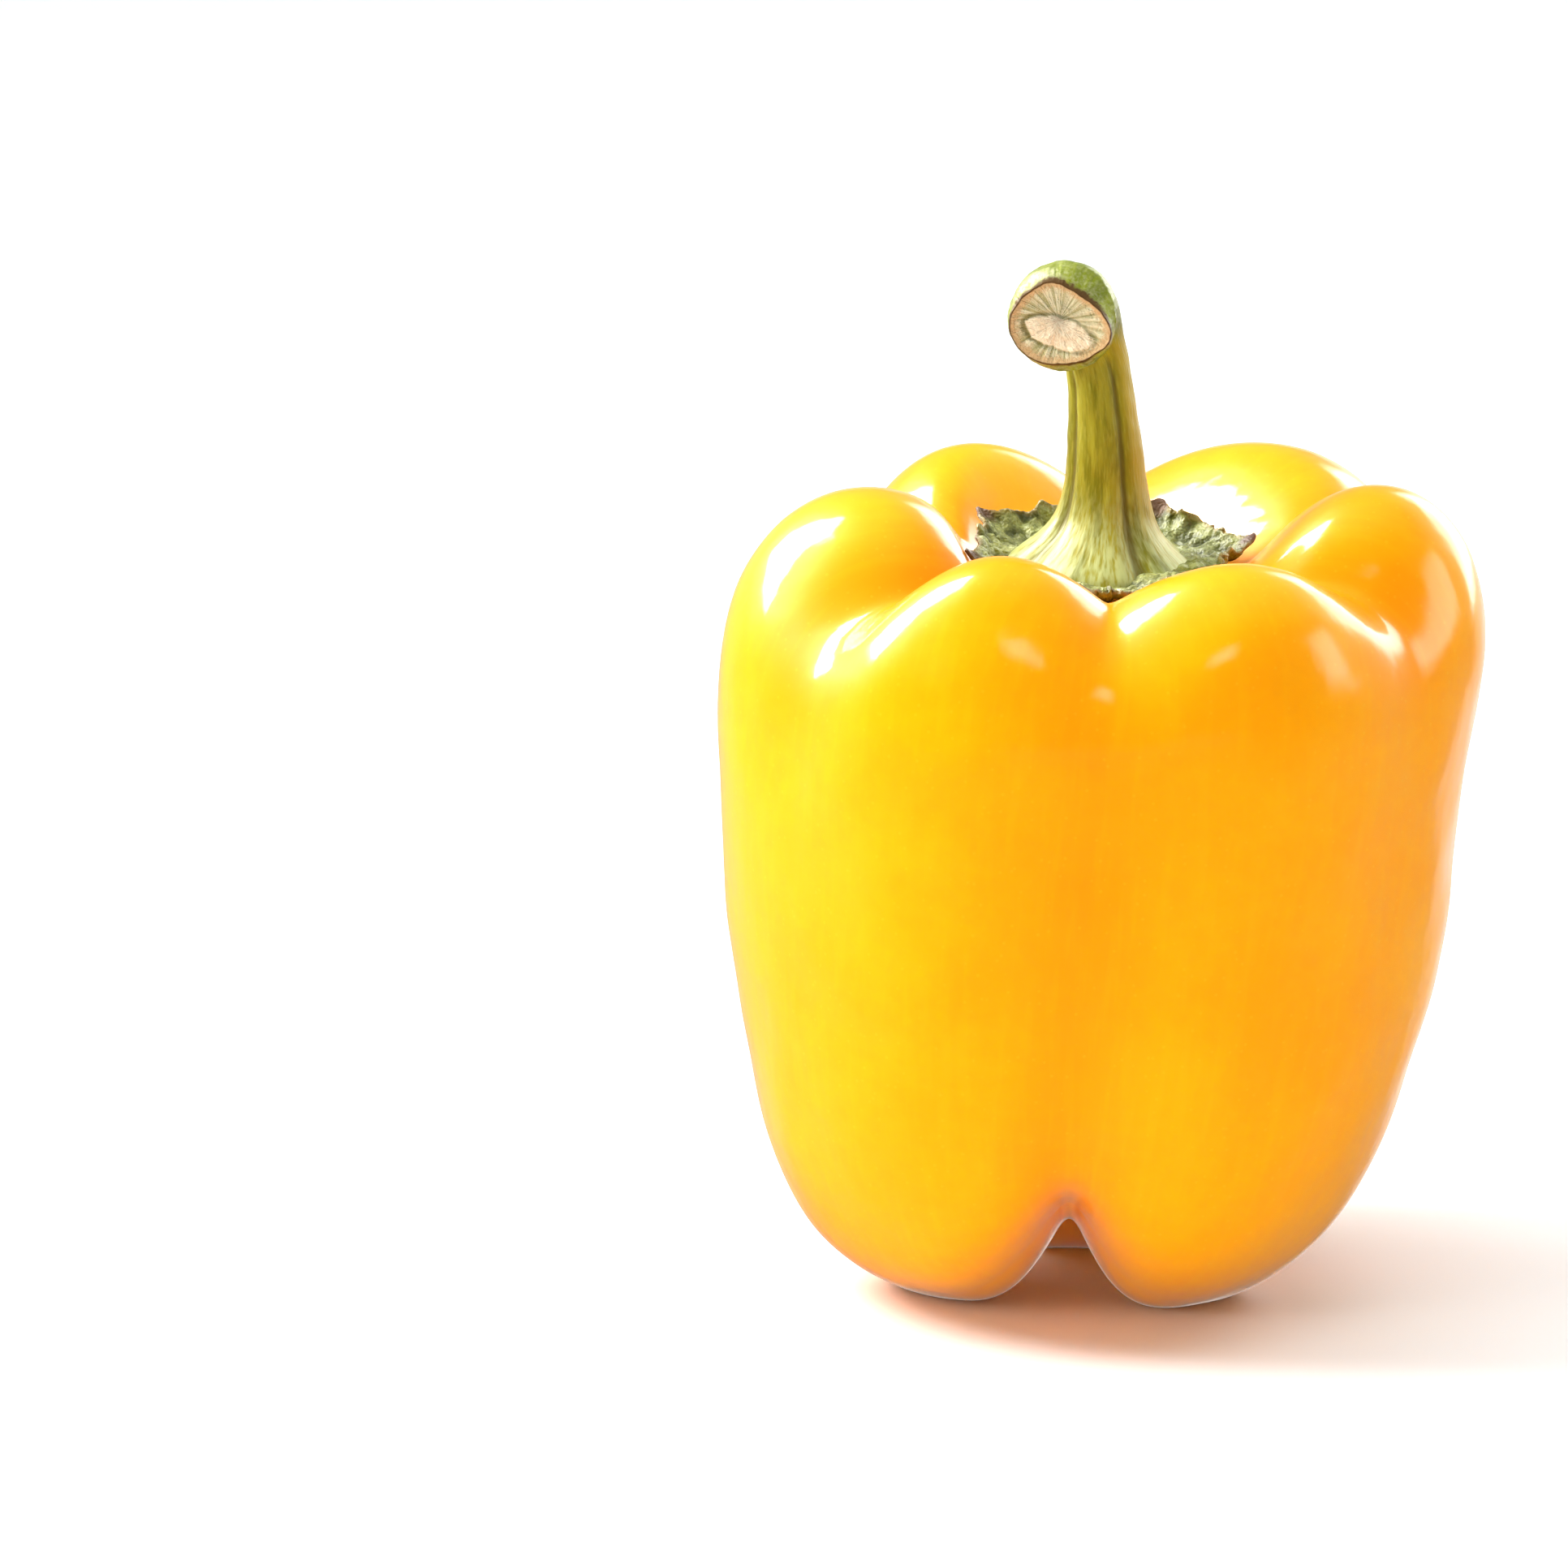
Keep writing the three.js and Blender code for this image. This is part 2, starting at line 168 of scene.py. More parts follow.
def skin_points(folds, rise):
    """Places on the skin, in mm, for fold counts from the front round to the right (0.5 is the back of
    the first lobe) and rises from dimple to bowl. Also says how far into a fold each place is."""
    station = rise[:, None] * (len(STATIONS) - 1)
    columns = along_spline(STATIONS, station[:, 0]).T[:, :, None]
    radius, height, deep_in, deep_down, low_in, low_down, softness, narrowness, share, tucked = columns
    folds = folds[None, :]
    part = folds % 1
    between = np.floor(folds) + part * part * (3 - 2 * part)
    pinch = [np.interp(between, range(len(FOLDS)), depths) for depths in (LOW_PINCH, CROWN_PINCH)]
    pinch = pinch[0] + (pinch[1] - pinch[0]) * np.clip((height - PINCH_FROM) / PINCH_OVER, 0, 1)
    deep = pinch * fold_depth(np.sin(folds * math.pi / 2), softness, narrowness)
    low = pinch * fold_depth(np.cos(folds * math.pi / 2), softness, narrowness)
    r = (radius + deep * deep_in + low * low_in) * (1 + (lobe_value(REACH, folds) - 1) * share)
    r = r - lobe_value(TUCK, folds) * tucked
    z = height + deep * deep_down + low * low_down + lobe_value(RISE, folds) * share
    at_foot = np.clip(1 - height / FOOT_RISE_TO, 0, 1) * np.clip(radius / FOOT_RADIUS, 0, 1) ** 2
    z = z + lobe_value(FOOT_RISE, folds) * at_foot
    at_bowl = np.clip((station - BOWL_FROM) / BOWL_OVER, 0, 1)
    at_bowl = at_bowl**2 * (3 - 2 * at_bowl)
    body, bowl = (np.interp(folds, range(len(FOLDS)), angles) for angles in (FOLDS, BOWL_FOLDS))
    degrees = body + (bowl - body) * at_bowl + np.interp(z, (0, CROWN_HEIGHT), TWIST)
    x = r * np.sin(np.radians(degrees)) + LEAN * z / CROWN_HEIGHT
    y = -r * np.cos(np.radians(degrees))
    fold = deep * np.clip(np.hypot(deep_in, deep_down) / CREASE_SHADE_DEPTH, 0, 1)
    fold = fold + low * np.clip(np.hypot(low_in, low_down) / CREASE_SHADE_DEPTH, 0, 1)
    return np.stack([x, y, np.maximum(z, 0)], -1), fold


def ripples(places, scale, octaves=3):
    """Smooth random heights, about -1 to 1, at places given in mm."""
    flat = np.asarray(places).reshape(-1, 3) / scale
    heights = [noise.fractal(Vector(place), 0.7, 2.1, octaves) for place in flat.tolist()]
    return np.array(heights).reshape(np.shape(places)[:-1])


def grid_mesh(name, points, material):
    """A closed smooth mesh from rings of points whose first and last ring are single points."""
    rings, count = points.shape[:2]
    faces = []
    for i in range(count):
        j = (i + 1) % count
        faces.append((0, 1 + j, 1 + i))
        for ring in range(rings - 3):
            a = 1 + ring * count
            b = a + count
            faces.append((a + i, a + j, b + j, b + i))
        last = 1 + (rings - 3) * count
        faces.append((last + i, last + j, 1 + (rings - 2) * count))
    mesh = bpy.data.meshes.new(name)
    mesh.from_pydata((ring_values(points) * MM).tolist(), [], faces)
    mesh.polygons.foreach_set("use_smooth", [True] * len(mesh.polygons))
    mesh.materials.append(material)
    mesh.update()
    piece = bpy.data.objects.new(name, mesh)
    bpy.context.collection.objects.link(piece)
    return piece


def ring_values(values):
    """Values on rings as one row for each vertex of a grid mesh."""
    return np.concatenate([values[0, :1], values[1:-1].reshape(-1, *values.shape[2:]), values[-1, :1]])


def mark(piece, name, values):
    """Keeps a number or a vector for each vertex, for the piece's material to read."""
    kind = "FLOAT_VECTOR" if values.ndim == 3 else "FLOAT"
    layer = piece.data.attributes.new(name, kind, "POINT")
    layer.data.foreach_set("vector" if values.ndim == 3 else "value", ring_values(values).ravel())


def feed(tree, node, inputs):
    """Sets a node's inputs, each given as (name or number, value or another node's output)."""
    for socket, value in inputs:
        if isinstance(value, bpy.types.NodeSocket):
            tree.links.new(value, node.inputs[socket])
        else:
            node.inputs[socket].default_value = value


def add(tree, kind, inputs=(), **settings):
    """Adds a shader node with its inputs and settings."""
    made = tree.nodes.new("ShaderNode" + kind)
    for name, value in settings.items():
        setattr(made, name, value)
    feed(tree, made, inputs)
    return made


def calc(tree, operation, first, second=0.0):
    """One step of arithmetic."""
    return add(tree, "Math", [(0, first), (1, second)], operation=operation).outputs[0]


def fade(tree, value, low, high):
    """0 at low and 1 at high, smooth between."""
    sockets = [("Value", value), ("From Min", low), ("From Max", high)]
    return add(tree, "MapRange", sockets, interpolation_type="SMOOTHSTEP").outputs["Result"]


def tint(tree, factor, first, second):
    """Mix of two colours."""
    sockets = [(0, factor), (6, first), (7, second)]
    return add(tree, "Mix", sockets, data_type="RGBA").outputs[2]


def marked(tree, name, output="Fac"):
    """What mark has kept on the mesh under this name."""
    return add(tree, "Attribute", attribute_name=name).outputs[output]


def millimetres(tree):
    """Places on the piece, in mm."""
    place = add(tree, "TexCoord").outputs["Object"]
    return add(tree, "VectorMath", [(0, place), ("Scale", 1 / MM)], operation="SCALE").outputs[0]


def new_group(name, inputs, outputs):
    """An empty node group; inputs and outputs are (name, kind, default)."""
    group = bpy.data.node_groups.new(name, "ShaderNodeTree")
    for label, kind, default in inputs:
        socket = group.interface.new_socket(label, in_out="INPUT", socket_type="NodeSocket" + kind)
        if default is not None:
            socket.default_value = default
    for label, kind in outputs:
        group.interface.new_socket(label, in_out="OUTPUT", socket_type="NodeSocket" + kind)
    return group, group.nodes.new("NodeGroupInput").outputs, group.nodes.new("NodeGroupOutput").inputs


def use_group(tree, group, inputs):
    """Puts a node group to use and gives its outputs."""
    node = tree.nodes.new("ShaderNodeGroup")
    node.node_tree = group
    feed(tree, node, inputs)
    return node.outputs


# Uneven colour of living tissue: patches, and finer flecks inside them.
mottle, given, result = new_group(
    "tissue_mottle",
    [("Place", "Vector", None), ("Patch Size", "Float", 10.0), ("Fleck Size", "Float", 1.0),
     ("Fleck Share", "Float", 0.4)],
    [("Mask", "Float")],
)
patch_scale = calc(mottle, "DIVIDE", 1.0, given["Patch Size"])
fleck_scale = calc(mottle, "DIVIDE", 1.0, given["Fleck Size"])
patches = add(mottle, "TexNoise", [("Vector", given["Place"]), ("Scale", patch_scale), ("Detail", 3.0)])
flecks = add(mottle, "TexNoise", [("Vector", given["Place"]), ("Scale", fleck_scale), ("Detail", 2.0)])
both = add(mottle, "Mix", [(0, given["Fleck Share"]), (2, patches.outputs[0]), (3, flecks.outputs[0])])
mottle.links.new(fade(mottle, both.outputs[0], 0.34, 0.66), result["Mask"])

# Fine relief of a plant's skin: shallow waves with a tight grain on top, in mm of height.
relief, given, result = new_group(
    "skin_relief",
    [("Place", "Vector", None), ("Wave Size", "Float", 5.0), ("Wave Height", "Float", 0.05),
     ("Grain Size", "Float", 0.5), ("Grain Height", "Float", 0.01)],
    [("Height", "Float")],
)
wave_scale = calc(relief, "DIVIDE", 1.0, given["Wave Size"])
grain_scale = calc(relief, "DIVIDE", 1.0, given["Grain Size"])
waves = add(relief, "TexNoise", [("Vector", given["Place"]), ("Scale", wave_scale), ("Detail", 2.0)])
grain = add(relief, "TexNoise", [("Vector", given["Place"]), ("Scale", grain_scale), ("Detail", 1.0)])
raised = calc(relief, "MULTIPLY", waves.outputs[0], given["Wave Height"])
grained = calc(relief, "MULTIPLY", grain.outputs[0], given["Grain Height"])
relief.links.new(calc(relief, "ADD", raised, grained), result["Height"])


def new_material(name):
    """A material with its node tree and its shader."""
    material = bpy.data.materials.new(name)
    material.use_nodes = True
    return material, material.node_tree, material.node_tree.nodes["Principled BSDF"]


def wire(tree, shader, colour, roughness, height):
    """Feeds a colour, a roughness and a relief in mm to a shader, and gives the bumped normal."""
    tree.links.new(colour, shader.inputs["Base Color"])
    tree.links.new(roughness, shader.inputs["Roughness"])
    bump = add(tree, "Bump", [("Height", height), ("Distance", MM)])
    tree.links.new(bump.outputs[0], shader.inputs["Normal"])
    return bump.outputs[0]


skin, tree, shader = new_material("waxy_skin")
shader.inputs["Specular IOR Level"].default_value = 0.12
shader.inputs["Specular Tint"].default_value = (1.0, 0.7, 0.03, 1)
shader.inputs["Coat Weight"].default_value = 0.8
shader.inputs["Coat Roughness"].default_value = 0.09
shader.inputs["Coat IOR"].default_value = 1.28
at = millimetres(tree)
ripe = use_group(tree, mottle, [
    ("Place", at), ("Patch Size", 22.0), ("Fleck Size", 2.4), ("Fleck Share", 0.25)])
colour = tint(tree, ripe["Mask"], (1.0, 0.345, 0.0, 1), (1.0, 0.39, 0.0, 1))
# Painted shade: the skin is tinted a deeper orange down in the folds, more the deeper they are.
painted_crease_shade = fade(tree, marked(tree, "fold"), 0.2, 1.0)
colour = tint(tree, calc(tree, "MULTIPLY", painted_crease_shade, 0.6), colour, (1.0, 0.25, 0.0, 1))
grain = marked(tree, "grain", "Vector")
streaks = add(tree, "TexNoise", [("Vector", grain), ("Scale", 1.0), ("Detail", 3.0)])
streaked = calc(tree, "MULTIPLY", fade(tree, streaks.outputs[0], 0.46, 0.72), 0.1)
colour = tint(tree, streaked, colour, (1.0, 0.50, 0.004, 1))
pores = add(tree, "TexVoronoi", [("Vector", at), ("Scale", 0.7)])
specks = calc(tree, "MULTIPLY", fade(tree, pores.outputs["Distance"], 0.2, 0.04), 0.16)
colour = tint(tree, specks, colour, (1.0, 0.56, 0.03, 1))
scar = fade(tree, marked(tree, "scar"), 0.35, 0.75)
colour = tint(tree, scar, colour, (0.22, 0.11, 0.035, 1))
dull = calc(tree, "ADD", 0.34, calc(tree, "MULTIPLY", ripe["Mask"], 0.10))
bumps = use_group(tree, relief, [
    ("Place", at), ("Wave Size", 6.0), ("Wave Height", 0.16),
    ("Grain Size", 0.8), ("Grain Height", 0.005)])
height = calc(tree, "ADD", bumps["Height"], calc(tree, "MULTIPLY", streaks.outputs[0], 0.012))
bumped = wire(tree, shader, colour, calc(tree, "ADD", dull, calc(tree, "MULTIPLY", scar, 0.4)), height)
tree.links.new(bumped, shader.inputs["Coat Normal"])

rises = np.linspace(0, 1, FRUIT_RISE + 1)
fruit_points, fold = skin_points(np.arange(FRUIT_ROUND) * 6 / FRUIT_ROUND, rises)
from_ends = np.clip(np.minimum(rises, 1 - rises) * SWELLING_FADE, 0, 1)
swell = ripples(fruit_points, SWELLING_SIZE, 2) * SWELLING * from_ends[:, None]
fruit_points = fruit_points + [1, 1, 0] * (fruit_points / SWELLING_RADIUS) * swell[..., None]
# The fruit stands in the middle of its CAD box, and calyx and stalk are moved with it.
low, high = (np.array(corner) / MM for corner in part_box("fruit"))
centre = (fruit_points.min((0, 1)) + fruit_points.max((0, 1))) / 2
place = np.array([(low[0] + high[0]) / 2 - centre[0], (low[1] + high[1]) / 2 - centre[1], 0])
fruit = grid_mesh("pepper_fruit", fruit_points + place, skin)
mark(fruit, "fold", fold)
from_axis = np.hypot(fruit_points[..., 0], fruit_points[..., 1])
mark(fruit, "scar", np.clip(1 - from_axis / SCAR_RADIUS, 0, 1) * (fruit_points[..., 2] < SCAR_BELOW))
angle = np.arange(FRUIT_ROUND) * math.tau / FRUIT_ROUND
run = np.cumsum(np.linalg.norm(np.diff(fruit_points, axis=0, prepend=fruit_points[:1]), axis=-1), 0)
around = [np.cos(angle) * GRAIN_RADIUS + 0 * run, np.sin(angle) * GRAIN_RADIUS + 0 * run]
mark(fruit, "grain", np.stack([*around, run / GRAIN_STRETCH], -1))
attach(fruit, "root")
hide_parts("fruit")


# ---- Calyx -----------------------------------------------------------------------------------------
# The green star of sepals that held the flower, now a leathery disc lying in the bowl of the crown. It is
# crumpled, turned up at the edge, and drawn out into six dry pointed teeth. Grown onto fruit and stalk.

# Rim of the disc: angle from the front, radius, height.
CALYX_RIM = [
    (-180, 14.6, 88.4), (-158, 13.8, 88.6), (-138, 14.4, 88.9), (-112, 15.0, 88.2), (-90, 14.6, 87.2),
    (-65, 15.0, 86.8), (-38, 15.2, 85.8), (-10, 15.6, 85.0), (18, 15.2, 84.9), (45, 16.2, 86.2),
    (75, 15.6, 86.2), (103, 16.6, 86.4), (130, 15.4, 87.6), (156, 15.8, 88.4),
]
# Angles of the teeth, their width in degrees, and how far out and up their tips go.
TEETH = [-122, -66, -8, 45, 103, 156]
TOOTH_WIDTH = 4.2
TOOTH_LENGTH = 2.0
TOOTH_LIFT = 1.7
# Height of the disc round the stalk, and the dip in its front: depth, angle and width.
DISC_HEIGHT = 86.0
DIP_DEPTH = 1.6
DIP_ANGLE = 3
DIP_WIDTH = 26
# Shares of the disc's radius where its rim starts to rise and where its edge starts to roll over, the
# radius of that roll, and the disc's thickness.
RIM_FROM = 0.55
CURL_FROM = 0.84
CURL_RADIUS = 1.1
CALYX_THICKNESS = 1.0
# Mesh columns round the disc, and rings on each of its faces.
CALYX_ROUND = 400
CALYX_RINGS = 90


def through(points, t):
    """Catmull-Rom curve through rows of numbers, for t from 0 at the first to 1 at the last."""
    points = np.asarray(points, float)
    padded = np.vstack([2 * points[0] - points[1], points, 2 * points[-1] - points[-2]])
    t = np.clip(t, 0, 1) * (len(points) - 1)
    start = np.minimum(np.floor(t).astype(int), len(points) - 2)
    return between_points(*[padded[start + k] for k in range(4)], (t - start)[:, None])


def angle_gap(degrees, other):
    """Smallest turn between two angles."""
    return (degrees - other + 180) % 360 - 180


def calyx_points():
    """Rings from the middle of the underside over the rim to the middle of the top, in mm."""
    degrees = np.arange(CALYX_ROUND) * 360 / CALYX_ROUND - 180
    rim_table = np.array(CALYX_RIM + [(180, *CALYX_RIM[0][1:])])
    smooth = through(rim_table, np.linspace(0, 1, 600))
    rim_radius = np.interp(degrees, smooth[:, 0], smooth[:, 1])
    rim_height = np.interp(degrees, smooth[:, 0], smooth[:, 2])
    tooth = sum(np.exp(-((angle_gap(degrees, at) / TOOTH_WIDTH) ** 2)) for at in TEETH)
    dip = np.exp(-((angle_gap(degrees, DIP_ANGLE) / DIP_WIDTH) ** 2))
    reach = np.linspace(0, 1, CALYX_RINGS)[:, None]
    edge = np.clip((reach - RIM_FROM) / (1 - RIM_FROM), 0, 1)
    angle = np.radians(degrees)[None, :]
    spoke = np.stack([np.sin(angle), -np.cos(angle), 0 * angle], -1)
    flat = spoke * (reach * rim_radius)[..., None]
    rolled = (1.3 + 0.8 * ripples(spoke * 14, 5.0)) * (1 - tooth)
    curl = rolled * np.clip((reach - CURL_FROM) / (1 - CURL_FROM), 0, 1)
    radius = reach * (rim_radius + TOOTH_LENGTH * tooth * edge**4) + CURL_RADIUS * (np.sin(curl) - curl)
    height = DISC_HEIGHT - DIP_DEPTH * dip * reach
    height = height + (rim_height - DISC_HEIGHT + DIP_DEPTH * dip) * edge**1.7
    height = height + TOOTH_LIFT * tooth * edge**6 + CURL_RADIUS * (1 - np.cos(curl))
    crumple = ripples(flat, 4.2) * 1.5 + ripples(flat + 40, 1.6) * 0.5
    height = height + crumple * edge**0.7 * (1 - 0.3 * edge)
    radius = radius + ripples(flat + 80, 2.6) * 0.9 * edge
    top = spoke * radius[..., None] + [LEAN, 0, 0] + [0, 0, 1] * height[..., None]
    top[0] = top[0].mean(0)
    outward = np.gradient(top, axis=0)
    around = np.roll(top, -1, 1) - np.roll(top, 1, 1)
    normal = np.cross(outward, around)
    normal[:3] = [0, 0, 1]
    normal /= np.linalg.norm(normal, axis=-1)[..., None]
    under = top - normal * (CALYX_THICKNESS * (1 - 0.6 * edge**3))[..., None]
    near_tip = np.clip(reach - 0.88, 0, 0.1) * 10 * tooth
    marks = {"reach": reach, "tip": near_tip, "crumple": crumple}
    marks = {name: np.broadcast_to(value, height.shape) for name, value in marks.items()}
    marks = {name: np.concatenate([value, value[::-1]]) for name, value in marks.items()}
    return np.concatenate([under, top[::-1]]), marks


leaf, tree, shader = new_material("calyx_green")
shader.inputs["Specular IOR Level"].default_value = 0.35
at = millimetres(tree)
patches = use_group(tree, mottle, [
    ("Place", at), ("Patch Size", 4.0), ("Fleck Size", 0.5), ("Fleck Share", 0.35)])
lifted = fade(tree, marked(tree, "crumple"), -0.9, 1.1)
colour = tint(tree, patches["Mask"], (0.085, 0.09, 0.003, 1), (0.24, 0.225, 0.018, 1))
# Painted shade: the low dips of the crumpled disc are darkened to a near-black green.
painted_hollow_shade = calc(tree, "MULTIPLY", fade(tree, lifted, 0.5, 0.0), 0.75)
colour = tint(tree, painted_hollow_shade, colour, (0.035, 0.04, 0.002, 1))
bloom = use_group(tree, mottle, [
    ("Place", at), ("Patch Size", 2.0), ("Fleck Size", 0.3), ("Fleck Share", 0.4)])
# Pale waxy bloom that the sepals have, laid only on the raised parts of the crumple, so it is partly a
# painted sheen.
bloom_and_painted_sheen = calc(tree, "MULTIPLY", calc(tree, "MULTIPLY", bloom["Mask"], lifted), 0.85)
colour = tint(tree, bloom_and_painted_sheen, colour, (0.47, 0.50, 0.19, 1))
rim = fade(tree, marked(tree, "reach"), 0.965, 1.0)
colour = tint(tree, calc(tree, "MULTIPLY", rim, 0.6), colour, (0.32, 0.22, 0.06, 1))
tip = fade(tree, marked(tree, "tip"), 0.25, 0.8)
colour = tint(tree, tip, colour, (0.11, 0.05, 0.016, 1))
bumps = use_group(tree, relief, [
    ("Place", at), ("Wave Size", 1.2), ("Wave Height", 0.6),
    ("Grain Size", 0.3), ("Grain Height", 0.1)])
rough = calc(tree, "SUBTRACT", 0.66, calc(tree, "MULTIPLY", bloom_and_painted_sheen, 0.3))
wire(tree, shader, colour, rough, bumps["Height"])

rings, marks = calyx_points()
calyx = grid_mesh("pepper_calyx", rings + place, leaf)
for name, values in marks.items():
    mark(calyx, name, values)
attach(calyx, "root")
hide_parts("calyx")


# ---- Stem ------------------------------------------------------------------------------------------
# The stalk that the pepper hung from: flared where it joins the calyx, five-ribbed, bent over at the top
# into a swollen joint, and cut there with a knife. Tough green fibre; the cut has dried tan and shrunk.

# Middle of the stalk, from its foot to its cut.
STALK_LINE = [
    (0.1, 0.3, 84.2), (0.3, 0.4, 88.5), (0.5, 0.6, 93.0), (0.45, 0.8, 98.0), (0.15, 1.1, 103.0),
    (-0.4, 1.3, 107.8), (-1.1, 0.9, 111.0), (-2.2, -0.6, 113.6), (-3.5, -3.0, 115.1), (-4.55, -5.5, 115.4),
    (-5.1, -7.9, 115.3),
]
# Distance along the stalk and radius there.
STALK_RADII = [
    (0.0, 11.4), (1.2, 10.9), (2.4, 9.6), (3.8, 7.9), (5.2, 6.6), (6.8, 5.7), (9.0, 5.1), (12.0, 4.6),
    (15.0, 4.3), (19.0, 3.9), (23.5, 3.72), (26.5, 3.95), (29.5, 4.7), (32.5, 5.8), (35.0, 6.5),
    (37.4, 6.3),
]
# Angles of the grooves between the ribs, their width in degrees and depth as a share of the radius, how
# much deeper they are at the foot and how long that is, and where they fade below the head.
GROOVES = [27, 98, 165, 230, 302]
GROOVE_WIDTH = 9.0
GROOVE_DEPTH = 0.09
FOOT_GROOVE_DEPTH = 0.05
FOOT_LENGTH = 9
GROOVES_FADE_FROM = 22
GROOVES_FADE_OVER = 8
# Where the swollen head starts, and how much further its skin is as rough as it gets.
HEAD_FROM = 26
HEAD_OVER = 6
# Outline of the cut seen from its end: angle from its lowest point, and radius.
CUT_OUTLINE = [
    (0, 4.9), (42, 5.5), (76, 6.5), (104, 5.3), (132, 4.2), (160, 4.1), (190, 4.7), (222, 4.6), (255, 5.2),
    (285, 5.8), (318, 5.5), (360, 4.9),
]
# The stalk goes over from round to that outline from this distance on.
CUT_BLEND_FROM = 33.6
# The pith in the cut: its middle right and up of the stalk's, its half sizes, and its tilt in degrees.
PITH_AT = (0.1, -1.5)
PITH_SIZE = (3.9, 1.8)
PITH_TILT = -14
# How far the cut's middle has shrunk back, the depth of the crack round the pith, and the pith's own rise.
CUT_SINK = 0.55
CRACK_DEPTH = 0.25
PITH_RISE = 0.25
# The stalk's fibres are drawn on a cylinder of this radius, and stretched this many times along it.
FIBRE_RADIUS = 4
FIBRE_STRETCH = 7
# Mesh columns round the stalk, rings up its side, and rings across its cut.
STALK_ROUND = 300
STALK_RINGS = 260
CUT_RINGS = 50


def stalk_frame(along):
    """Centre, direction, right and front of the stalk at distances along it."""
    fine = through(STALK_LINE, np.linspace(0, 1, 2000))
    steps = np.linalg.norm(np.diff(fine, axis=0), axis=1)
    distance = np.concatenate([[0], np.cumsum(steps)])
    distance = distance * STALK_RADII[-1][0] / distance[-1]
    centre = np.stack([np.interp(along, distance, fine[:, k]) for k in range(3)], -1)
    slope = np.gradient(fine, axis=0)
    forward = np.stack([np.interp(along, distance, slope[:, k]) for k in range(3)], -1)
    forward /= np.linalg.norm(forward, axis=1)[:, None]
    right = np.array([1.0, 0, 0]) - forward * forward[:, :1]
    right /= np.linalg.norm(right, axis=1)[:, None]
    return centre, forward, right, np.cross(right, forward)


def stalk_points():
    """Rings from the foot of the stalk up to the middle of its cut end, in mm."""
    degrees = np.arange(STALK_ROUND) * 360 / STALK_ROUND
    angle = np.radians(degrees)[None, :]
    length = STALK_RADII[-1][0]
    along = np.linspace(0, length, STALK_RINGS)
    radii = through(STALK_RADII, np.linspace(0, 1, 800))
    radius = np.interp(along, radii[:, 0], radii[:, 1])[:, None]
    groove = sum(np.exp(-((angle_gap(degrees, at) / GROOVE_WIDTH) ** 2)) for at in GROOVES)[None, :]
    outline = through(CUT_OUTLINE, np.linspace(0, 1, 800))
    cut_radius = np.interp(degrees, outline[:, 0], outline[:, 1])[None, :]
    towards_cut = np.clip((along - CUT_BLEND_FROM) / (length - CUT_BLEND_FROM), 0, 1)[:, None] ** 2
    at_foot = np.clip(1 - along / FOOT_LENGTH, 0, 1)[:, None]
    ribs = 1 - np.clip((along - GROOVES_FADE_FROM) / GROOVES_FADE_OVER, 0, 1)[:, None]
    ribbed = radius * (1 - (GROOVE_DEPTH + FOOT_GROOVE_DEPTH * at_foot) * groove * ribs)
    ribbed = ribbed + (cut_radius - ribbed) * towards_cut
    centre, forward, right, front = stalk_frame(along)
    spoke = right[:, None] * np.sin(angle)[..., None] + front[:, None] * np.cos(angle)[..., None]
    side = centre[:, None] + spoke * ribbed[..., None]
    head = np.clip((along - HEAD_FROM) / HEAD_OVER, 0, 1)[:, None]
    side = side + spoke * (ripples(side, 2.2) * 0.12 * head + ripples(side + 50, 9.0) * 0.2)[..., None]
    rim = side[-1] - centre[-1]
    inward = np.linspace(1, 0, CUT_RINGS + 1)[1:, None, None]
    flat = inward * rim
    across = flat @ right[-1]
    up = -flat @ front[-1]
    face = np.stack([across, up, 0 * up], -1)
    tilt = math.radians(PITH_TILT)
    along_pith = (across - PITH_AT[0]) * math.cos(tilt) + (up - PITH_AT[1]) * math.sin(tilt)
    over_pith = (up - PITH_AT[1]) * math.cos(tilt) - (across - PITH_AT[0]) * math.sin(tilt)
    pith = np.hypot(along_pith / PITH_SIZE[0], over_pith / PITH_SIZE[1]) + ripples(face, 1.4) * 0.10
    inward = inward[..., 0]
    sunk = -CUT_SINK * (1 - inward**5) - CRACK_DEPTH * np.exp(-(((pith - 1.12) / 0.10) ** 2))
    sunk = sunk + PITH_RISE * np.clip(1.05 - pith, 0, 1) ** 0.5
    sunk = sunk + ripples(face + 20, 0.9) * 0.16 * (1 - inward**8)
    cut = centre[-1] + flat + forward[-1] * sunk[..., None]
    cut[-1] = cut[-1].mean(0)
    foot = np.repeat(centre[:1, None], STALK_ROUND, 1)
    rings = np.concatenate([foot, side, cut]) + [LEAN, 0, 0]
    still = np.zeros((1, STALK_ROUND))
    around = [np.cos(angle) * FIBRE_RADIUS + 0 * ribbed, np.sin(angle) * FIBRE_RADIUS + 0 * ribbed]
    fibre = np.stack([*around, along[:, None] / FIBRE_STRETCH + 0 * ribbed], -1)
    fibre = np.concatenate([fibre[:1], fibre, 0 * cut])
    face = np.concatenate([np.zeros((1 + len(side), STALK_ROUND, 3)), face])
    distance = np.concatenate([still, along[:, None] + 0 * ribbed, length + 0 * up])
    groove = np.concatenate([still, groove * ribs, 0 * up])
    pith = np.concatenate([still + 9, np.full(side.shape[:2], 9.0), pith])
    inward = np.concatenate([still, np.ones(side.shape[:2]), inward + 0 * up])
    golden = np.exp(-((angle_gap(degrees, 62) / 26) ** 2))[None, :] * np.clip(distance / 12, 0, 1) ** 2
    marks = {"fibre": fibre, "face": face, "along": distance, "groove": groove, "golden": golden}
    return rings, marks | {"pith": pith, "inward": inward}


